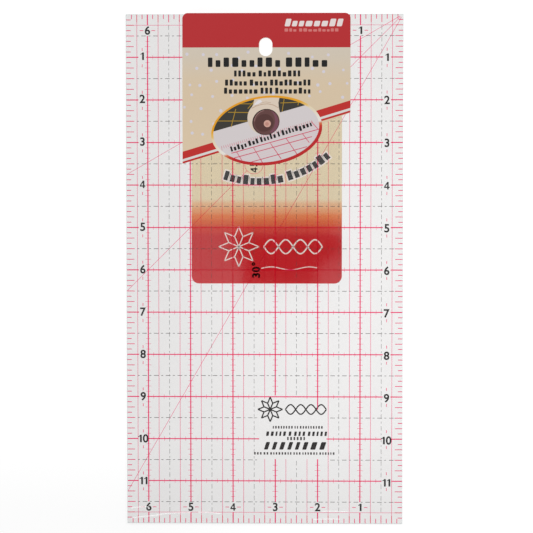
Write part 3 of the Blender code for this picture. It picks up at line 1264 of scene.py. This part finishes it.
def picture_lines(name, lines, width, layer, material):
    window = oval_inside()
    shapes = []
    for x0, y0, x1, y1 in lines:
        shapes.append(clip(stroke(oval_place(x0, y0), oval_place(x1, y1), width * MM), window))
    flap_layer(name, shapes, layer, material)


def ellipse(centre, half_length, half_height, tilt, steps=48):
    """An ellipse in the oval's picture, in millimetres, tilted by degrees."""
    points = []
    for p in circle((0.0, 0.0), 1.0, steps):
        points.append(oval_place(*(Vector(centre) + turned(half_length * p.x, half_height * p.y, tilt))))
    return points


def build_printed_cutter():
    """The picture's rotary cutter: a pale round head and neck, a dark disc with a sheen, and its hub."""
    body = printed("cutter_body", 216, 200, 183)
    neck = [
        (-6.9, 20.4), (-8.0, 15.6), (-9.6, 12.6), (-11.3, 9.4), (0.0, 6.0),
        (8.0, 10.2), (7.2, 13.8), (7.0, 16.6), (7.6, 19.4), (8.6, 21.0),
    ]
    picture("cutter_neck", [neck], 5, body)
    flap_layer("cutter_head", [circle(oval_place(-1.75, 7.4), 9.7 * MM, 48)], 6, body)
    shade = printed("cutter_shade", 190, 166, 146)
    brow = ((-9.0, 13.2), (-6.2, 14.6), (-3.0, 15.6), (0.6, 15.9), (4.0, 15.2), (6.9, 13.6))
    fold = ((-7.2, 14.8), (-4.4, 16.2), (-0.8, 17.0), (2.6, 16.6))
    creases = ribbon([Vector(p) for p in brow], 0.5) + ribbon([Vector(p) for p in fold], 0.35)
    flap_layer("cutter_creases", [[oval_place(*p) for p in points] for points in creases], 7, shade)
    shine = printed("cutter_shine", 224, 219, 222)
    glare = [(-7.0, 16.2), (-7.6, 14.9), (-5.4, 15.6), (-2.6, 17.0), (-3.6, 18.3), (-5.2, 18.0)]
    flap_layer("cutter_shine", [[oval_place(*p) for p in glare]], 8, shine)
    rim = printed("cutter_rim", 58, 42, 43)
    disc = printed("cutter_disc", 103, 74, 72)
    inner = printed("cutter_disc_inner", 90, 64, 62)
    sheen = printed("cutter_sheen", 122, 80, 92)
    gleam = printed("cutter_gleam", 158, 122, 118)
    flap_layer("cutter_rim", [ellipse((-0.43, 5.1), 8.2, 7.7, 24)], 8, rim)
    flap_layer("cutter_disc", [ellipse((-0.25, 5.0), 7.8, 7.3, 24)], 9, disc)
    crescent_outer = arc(oval_place(-0.3, 5.0), 7.35 * MM, -60, 62, 20)
    crescent_inner = arc(oval_place(-3.6, 5.8), 8.6 * MM, 44, -52, 20)
    crescent = [[crescent_outer[i], crescent_outer[i + 1], crescent_inner[19 - i], crescent_inner[20 - i]]
                for i in range(20)]
    flap_layer("cutter_sheen", crescent, 10, sheen)
    flap_layer("cutter_disc_inner", [ellipse((-1.4, 4.6), 5.6, 5.2, 24)], 11, inner)
    gleam_arc = arc(oval_place(-0.3, 5.0), 7.0 * MM, 100, 176, 14)
    flap_layer("cutter_gleam", ribbon(gleam_arc, 0.3 * MM), 12, gleam)
    hub = printed("cutter_hub", 206, 162, 148)
    dimple = printed("cutter_dimple", 188, 138, 126)
    flap_layer("cutter_hub", [circle(oval_place(0.4, 4.1), 2.1 * MM, 28)], 13, hub)
    flap_layer("cutter_dimple", [circle(oval_place(0.2, 3.9), 1.1 * MM, 20)], 14, dimple)


def build_oval_picture():
    """A generic picture of a rotary cutter rolling along a ruler on a cutting mat, in a coloured ring."""
    edge_at = slant_y(0.0)
    white = shown(226, 222, 214)
    ring_material = gradient_material("print_oval_ring", (-0.35, 1.0, 0.0), [
        (edge_at - 6.7 * MM, shown(184, 52, 54)),
        (edge_at - 4.2 * MM, shown(192, 62, 54)),
        (edge_at - 2.6 * MM, shown(208, 112, 74)),
        (edge_at - 0.7 * MM, white),
        (edge_at + 9.0 * MM, shown(222, 208, 180)),
        (edge_at + 12.3 * MM, shown(224, 182, 100)),
        (edge_at + 15.0 * MM, shown(224, 160, 48)),
        (edge_at + 32.0 * MM, shown(222, 152, 38)),
    ])
    outer, inner = oval(), oval_inside()
    count = len(outer)
    ring = [[outer[i], outer[(i + 1) % count], inner[(i + 1) % count], inner[i]] for i in range(count)]
    flap_layer("oval_ring", ring, 2, ring_material)

    flap_layer("oval_ground", [inner], 2, printed("oval_ground", 209, 202, 203))
    mat = printed("mat", 67, 65, 61)
    picture("oval_mat", [[(34, 18.2), (34, 30), (-34, 30), (-34, -1.2)]], 3, mat)
    mat_lines = (
        (-21.2, 2.0, -18.4, 12.8), (-11.2, 13.0, -7.2, 17.8), (-29.0, 5.7, -11.5, 5.7),
        (-23.0, 10.9, -10.0, 10.7), (-17.0, 15.9, -8.0, 15.9), (9.2, 11.2, 10.4, 18.8),
        (8.2, 16.4, 19.5, 16.8), (18.6, 15.0, 19.4, 18.4),
    )
    mat_line = printed("mat_line", 172, 138, 52)
    picture_lines("oval_mat_lines", mat_lines, 0.42, 4, mat_line)

    grid = printed("oval_grid", 200, 84, 104)
    long_lines = []
    for start_x, start_y, end_x in ((-9.0, -10.2, 31.5), (-16.0, -15.4, 27.0), (-11.0, -19.2, 24.0)):
        long_lines.append((start_x - 12, start_y - 3.3, end_x, start_y + (end_x - start_x) * 0.275))
    crossing = (
        (-18.0, -12.6, -14.0, -18.9), (-7.8, -10.3, -2.4, -19.2), (2.3, -7.6, 8.6, -16.8),
        (11.6, -4.6, 18.2, -14.2), (21.2, -1.7, 25.4, -7.2), (26.6, 5.3, 30.8, 0.6),
    )
    picture_lines("oval_grid_lines", long_lines + list(crossing), 0.46, 3, grid)
    fine = []
    for i in range(9):
        fine.append((-25 + i * 1.1, -9.6 - i * 1.25, 33, 6.5 - i * 1.25 - 1.1))
    pale = printed("oval_grid_fine", 222, 176, 186)
    picture_lines("oval_grid_fine_lines", fine, 0.16, 4, pale)
    ticks = []
    for i in range(44):
        x = -27.0 + 1.25 * i
        y = -9.2 + 0.285 * (x + 27)
        ticks.append((x, y, x + 0.5, y - (1.7 if i % 4 else 2.6)))
    picture_lines("oval_ticks", ticks, 0.2, 5, grid)

    build_printed_cutter()

    black = print_material("print_type_black_oval", TYPE_BLACK)
    caption = type_blocks((5, 3, 5, 1, 9), 50.5 * MM, 3.1 * MM, 21, gap=0.6)
    flap_layer("oval_caption", placed(caption, oval_place(-21.0, -12.6), 17.6), 15, black)


def build_flap(board, red):
    bottom, top = FLAP_LOW.z, FLAP_HIGH.z - PRINT_DEPTH
    outlines = [flap_outline(), slot_outline()]
    flap = flap_sheet("card_flap_board", outlines, bottom, top, board)
    smooth_round(flap.data)
    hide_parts("card_front_flap")

    cream = gradient_material("print_cream", (0.0, 1.0, 0.0), [
        (TOP - 90 * MM, shown(216, 196, 168)),
        (TOP - 45 * MM, shown(212, 193, 166)),
        (TOP - 20 * MM, shown(206, 195, 179)),
    ])
    flap_sheet("flap_print_cream", outlines, top + PRINT_CLEARANCE, top + PRINT_THICKNESS, cream)

    band_y = TOP - HEADER_DROP
    slot_left, slot_right = SLOT_CENTRE.x - SLOT_WIDTH / 2, SLOT_CENTRE.x + SLOT_WIDTH / 2
    over_slot = sorted((p for p in slot_outline() if p.y > band_y), key=lambda p: p.x)
    band = [Vector((FLAP_LOW.x, band_y)), Vector((slot_left, band_y))] + over_slot
    band += [Vector((slot_right, band_y)), Vector((FLAP_HIGH.x, band_y))] + flap_ears()
    level = top + PRINT_STEP + PRINT_THICKNESS
    flap_sheet("flap_header_band", [band], level - PRINT_THICKNESS, level, red)

    stripe = print_material("print_stripe_red", STRIPE_RED)
    pale = printed("stripe_white", 214, 212, 208)
    stripes = (("wide", 2.65, 7.15, stripe), ("white", 1.20, 2.65, pale), ("thin", 0.0, 1.20, stripe))
    for side in ("left", "right"):
        for kind, low, high, material in stripes:
            band = outside_oval(slant_band(low * MM, high * MM), side)
            flap_layer("flap_stripe_%s_%s" % (kind, side), band, 1, material)

    flap_layer("flap_dots", flap_dots(), 1, print_material("print_dots", LILAC))

    black = print_material("print_type_black", TYPE_BLACK)
    lines = (
        (-33.6, 25.7, 71.0, 5.6, (9, 5), 31),
        (-18.0, 33.4, 39.3, 3.6, (5, 9), 32),
        (-23.4, 38.8, 50.8, 3.6, (5, 4, 9), 33),
        (-24.0, 43.6, 51.4, 3.6, (7, 3, 8), 34),
    )
    for i, (left, drop, width, height, words, seed) in enumerate(lines):
        blocks = type_blocks(words, width * MM, height * MM, seed, gap=0.52, hang=0.0)
        origin = (left * MM, TOP - (drop + height) * MM)
        flap_layer("flap_type_%d" % (i + 1), placed(blocks, origin), 2, black)

    white = printed("type_white", 226, 214, 212)
    blocks = type_blocks((8,), 34.0 * MM, 4.5 * MM, 41, 0.25)
    flap_layer("flap_header_type", placed(blocks, (12.0 * MM, TOP - 7.3 * MM)), 3, white)
    faint = printed("type_pink", 206, 120, 118)
    blocks = type_blocks((3, 9), 32.0 * MM, 1.9 * MM, 42)
    flap_layer("flap_header_type_small", placed(blocks, (12.0 * MM, TOP - 10.4 * MM)), 3, faint)

    build_oval_picture()


# The caption's arc: the places of its first, middle and last block, in millimetres from the middle of the
# plate's top edge, and its blocks, which start a new word at the one with this number
CAPTION_ARC = ((-24.8, -98.2), (3.2, -101.2), (39.4, -85.2))
CAPTION_BLOCKS = 16
CAPTION_WORD = 9


def curved_caption(seed, grow=0.0):
    """Unreadable type along the arc below the oval, each block turned to the arc."""
    chooser = random.Random(seed)
    first, middle, last = (Vector(p) for p in CAPTION_ARC)
    # The circle through the three points
    ax, ay, bx, by, cx, cy = *first, *middle, *last
    d = 2 * (ax * (by - cy) + bx * (cy - ay) + cx * (ay - by))
    a2, b2, c2 = first.length_squared, middle.length_squared, last.length_squared
    centre = Vector((
        (a2 * (by - cy) + b2 * (cy - ay) + c2 * (ay - by)) / d,
        (a2 * (cx - bx) + b2 * (ax - cx) + c2 * (bx - ax)) / d,
    ))
    radius = (first - centre).length
    start = math.atan2(ay - centre.y, ax - centre.x)
    end = math.atan2(cy - centre.y, cx - centre.x)
    letters = [chooser.uniform(0.8, 1.15) for _ in range(CAPTION_BLOCKS)]
    gap, space = 0.5, 0.6
    total = sum(letters) + gap * (CAPTION_BLOCKS - 1) + space
    step = (end - start) / total
    pen = start
    polygons = []
    for i, share in enumerate(letters):
        if i == CAPTION_WORD:
            pen += space * step
        middle_angle = pen + share * step / 2
        half_width = share * step * radius / 2 + grow
        high = 5.6 if i in (0, CAPTION_WORD) or chooser.random() < 0.25 else 4.1
        low, high = -grow, high + grow
        outward = heading(math.degrees(middle_angle))
        along = outward.orthogonal()
        foot = centre + outward * radius
        corners = []
        for u, v in ((-half_width, low), (half_width, low), (half_width, high), (-half_width, high)):
            p = foot + along * u - outward * v
            corners.append(Vector((p.x * MM, TOP + p.y * MM)))
        polygons.append(corners)
        pen += (share + gap) * step
    return polygons


def build_back(board):
    bottom, top = BACK_LOW.z, BACK_HIGH.z - PRINT_DEPTH
    outlines = [back_outline(), slot_outline()]
    mesh = sheet_mesh("card_back_board", outlines, bottom, top)
    smooth_round(mesh)
    back = add_object("card_back_board", mesh, [board], "card_back")
    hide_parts("card_back_panel")

    # Linear colours, stronger than they look, because the acrylic over them veils them
    fade = gradient_material("print_back_fade", (0.0, 1.0, 0.0), [
        (TOP - 162.0 * MM, (0.76, 0.022, 0.030, 1.0)),
        (TOP - 150.0 * MM, (0.72, 0.014, 0.022, 1.0)),
        (TOP - 133.0 * MM, (0.70, 0.011, 0.016, 1.0)),
        (TOP - 128.0 * MM, (0.77, 0.038, 0.018, 1.0)),
        (TOP - 124.0 * MM, (0.86, 0.145, 0.030, 1.0)),
        (TOP - 120.5 * MM, (0.93, 0.24, 0.060, 1.0)),
        (TOP - 117.0 * MM, (0.95, 0.42, 0.18, 1.0)),
        (TOP - 113.5 * MM, (0.96, 0.58, 0.32, 1.0)),
        (TOP - 109.5 * MM, (0.97, 0.84, 0.57, 1.0)),
    ])
    mesh = sheet_mesh("back_print_fade", outlines, top + PRINT_CLEARANCE, top + PRINT_THICKNESS)
    add_object("back_print_fade", mesh, [fade], "card_back")

    white = print_material("print_back_white", shown_under(240, 232, 226))
    black = print_material("print_back_black", shown_under(52, 44, 42))
    back_layer("back_caption_halo", curved_caption(51, 0.75), 1, white)
    back_layer("back_caption", curved_caption(51), 2, black)
    star = quilt_star(Vector((-15.5 * MM, TOP - BACK_ART_DROP)), 12.0 * MM, 0.62 * MM)
    back_layer("back_star", star, 1, white)
    leaves = leaf_chain((-0.5 * MM, TOP - BACK_ART_DROP), 35.0 * MM, 4, 4.2 * MM, 0.80 * MM)
    back_layer("back_leaves", leaves, 2, white)
    flourish = [Vector((-2 + 1.15 * i, 0.9 * math.sin(i / 3.2))) * MM + Vector((0, TOP - 151.5 * MM))
                for i in range(30)]
    back_layer("back_flourish", ribbon(flourish, 0.5 * MM), 3, white)


# The lower this power, the flatter a glue dot's faces
GLUE_ROUNDING = 0.35


def build_glue(material):
    for side in ("left", "right"):
        name = "glue_dot_" + side
        low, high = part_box(name)
        centre = (low + high) / 2
        radius = (high.x - low.x) / 2
        height = high.z - low.z
        shape = bmesh.new()
        rings = []
        for angle in range(-75, 76, 15):
            out, lift = heading(angle)
            edge = circle(centre.xy, radius * out ** GLUE_ROUNDING)
            rings.append([shape.verts.new((p.x, p.y, centre.z + height / 2 * lift)) for p in edge])
        for a, b in zip(rings, rings[1:]):
            for i in range(len(a)):
                j = (i + 1) % len(a)
                shape.faces.new((a[i], a[j], b[j], b[i]))
        shape.faces.new(rings[0][::-1])
        shape.faces.new(rings[-1])
        mesh = finished_mesh(shape, name + "_blob")
        mesh.shade_smooth()
        blob = add_object(name + "_blob", mesh, [material], "ruler")
        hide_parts(name)


def build_card():
    board = board_material("card_board", (0.72, 0.70, 0.66, 1.0))
    red = print_material("print_header_red", RED)
    build_spine_and_folds(board, red)
    build_flap(board, red)
    build_back(board)
    build_glue(glue_material())


# ---------------------------------------------------------------------------
# Floor, light and camera
# ---------------------------------------------------------------------------

CAMERA_PLACE = Vector((41.56 * MM, 77.51 * MM, 1466.9 * MM))
CAMERA_TURN = (-0.051659, 0.027561, -0.0005)
CAMERA_LENS = 165.66

ROOM_LIGHT = 0.75
LAMP_WATTS = 6.0
LAMP_SIZE = 0.35
LAMP_SIDE, LAMP_BEHIND, LAMP_HEIGHT = 0.5, 0.45, 1.55
FLOOR_HALF = 6.0
FLOOR_DEPTH = 0.2 * MM
FLOOR_GLOW = 0.735
# The light table's glow has a painted brighter pool right of the ruler's middle, and painted shade towards
# the ruler's bottom end
PAINTED_GLOW_POOL = 0.15
LOW_END_PAINTED_SHADE = 0.06
GLOW_X, GLOW_Y = 75.0 * MM, -20.0 * MM
GLOW_SQUASH = 0.72
GLOW_RADIUS = 190.0 * MM

# Where the dark reflections of the camera and of its hood lie on the plate, in millimetres
CAMERA_REFLECTION = (
    (-17.5, 21.0), (38.0, 21.0), (46.5, 19.0), (47.0, 8.0), (38.0, 4.6),
    (32.0, 1.0), (31.0, -12.7), (-12.8, -12.7), (-12.8, 5.0), (-17.0, 7.0),
)
HOOD_REFLECTION = ((-10.5, 34.0), (39.9, 34.0), (43.0, 25.0), (38.0, 21.0), (-17.5, 21.0))


def build_floor():
    """A white light table, its glow painted a little brighter in a pool to the right of the ruler's middle,
    and painted darker towards the ruler's bottom end.
    """
    material, tree = new_tree("floor_white")
    coords = object_coords(tree)
    glow_place = node(tree, "ShaderNodeVectorMath", {0: coords, 1: (-GLOW_X, -GLOW_Y, 0.0)}, operation="ADD")
    glow_shape = node(tree, "ShaderNodeVectorMath", {0: glow_place.outputs[0], 1: (1.0, GLOW_SQUASH, 1.0)},
                      operation="MULTIPLY")
    distance = node(tree, "ShaderNodeVectorMath", {0: glow_shape.outputs[0]}, operation="LENGTH")
    glow = node(tree, "ShaderNodeMapRange", {
        "Value": distance.outputs["Value"],
        "From Max": GLOW_RADIUS,
        "To Min": FLOOR_GLOW + PAINTED_GLOW_POOL,
        "To Max": FLOOR_GLOW,
    }, interpolation_type="SMOOTHSTEP").outputs["Result"]
    place = node(tree, "ShaderNodeSeparateXYZ", {0: coords})
    # Painted shade: the glow is darker towards the ruler's bottom end
    low_end_shade = node(tree, "ShaderNodeMapRange", {
        "Value": place.outputs["Y"],
        "From Min": BOTTOM,
        "From Max": BOTTOM + 60.0 * MM,
        "To Min": 1.0 - LOW_END_PAINTED_SHADE,
        "To Max": 1.0,
    }, interpolation_type="SMOOTHSTEP").outputs["Result"]
    glow = node(tree, "ShaderNodeMath", {0: glow, 1: low_end_shade}, operation="MULTIPLY").outputs[0]
    soft = noise(tree, 3.0, 2.0, coords)
    shader = node(tree, "ShaderNodeBsdfPrincipled", {
        "Base Color": mixed_colour(tree, soft, (0.25, 0.25, 0.25, 1.0), (0.26, 0.26, 0.26, 1.0)),
        "Roughness": 0.9,
        "Specular IOR Level": 0.0,
        "Emission Color": (1.0, 1.0, 1.0, 1.0),
        "Emission Strength": glow,
    })
    finish_surface(tree, shader)
    mesh = bpy.data.meshes.new("floor")
    corners = bar(0, 0, 2 * FLOOR_HALF, 2 * FLOOR_HALF)
    mesh.from_pydata([(p.x, p.y, 0) for p in corners], [], [(0, 1, 2, 3)])
    mesh.materials.append(material)
    floor = bpy.data.objects.new("floor", mesh)
    floor.location.z = -FLOOR_DEPTH
    bpy.context.scene.collection.objects.link(floor)


def build_reflected_card(name, reflection, opaque):
    """A dark thing over the object, beside the lens, which only its reflection in the acrylic shows."""
    mirrored = [2 * Vector(p) * MM - CAMERA_PLACE.xy for p in reflection]
    mesh = bpy.data.meshes.new(name)
    mesh.from_pydata([(p.x, p.y, CAMERA_PLACE.z) for p in mirrored], [], [list(range(len(mirrored)))])
    material, tree = new_tree(name)
    dark = node(tree, "ShaderNodeBsdfDiffuse", {"Color": (0.004, 0.004, 0.004, 1.0)})
    clear = node(tree, "ShaderNodeBsdfTransparent")
    finish_surface(tree, mixed_shader(tree, opaque, clear, dark))
    mesh.materials.append(material)
    card = bpy.data.objects.new(name, mesh)
    card.visible_camera = False
    card.visible_diffuse = False
    card.visible_transmission = False
    card.visible_shadow = False
    bpy.context.scene.collection.objects.link(card)


def build_lights():
    """An even white room, and two soft lamps high on either side of the camera."""
    world = bpy.data.worlds.new("studio")
    world.use_nodes = True
    bpy.context.scene.world = world
    background = world.node_tree.nodes["Background"]
    background.inputs["Color"].default_value = (1.0, 1.0, 1.0, 1.0)
    background.inputs["Strength"].default_value = ROOM_LIGHT
    for name, side in (("softbox_left", -1), ("softbox_right", 1)):
        lamp = bpy.data.lights.new(name, "AREA")
        lamp.shape = "SQUARE"
        lamp.size = LAMP_SIZE
        lamp.energy = LAMP_WATTS
        softbox = bpy.data.objects.new(name, lamp)
        softbox.location = (side * LAMP_SIDE, LAMP_BEHIND, LAMP_HEIGHT)
        softbox.rotation_euler = (-softbox.location).to_track_quat("-Z", "Y").to_euler()
        bpy.context.scene.collection.objects.link(softbox)


def build_stage():
    scene = bpy.context.scene
    scene.view_settings.view_transform = "Standard"
    scene.cycles.transparent_max_bounces = 32

    build_floor()
    build_lights()

    camera_data = bpy.data.cameras.new("camera")
    camera_data.lens = CAMERA_LENS
    camera_data.sensor_width = 36.0
    camera = bpy.data.objects.new("camera", camera_data)
    camera.location = CAMERA_PLACE
    camera.rotation_euler = CAMERA_TURN
    scene.collection.objects.link(camera)
    scene.camera = camera


build_ruler()
build_card()
build_stage()
build_reflected_card("dark_camera", CAMERA_REFLECTION, 1.0)
build_reflected_card("dark_hood", HOOD_REFLECTION, 0.45)
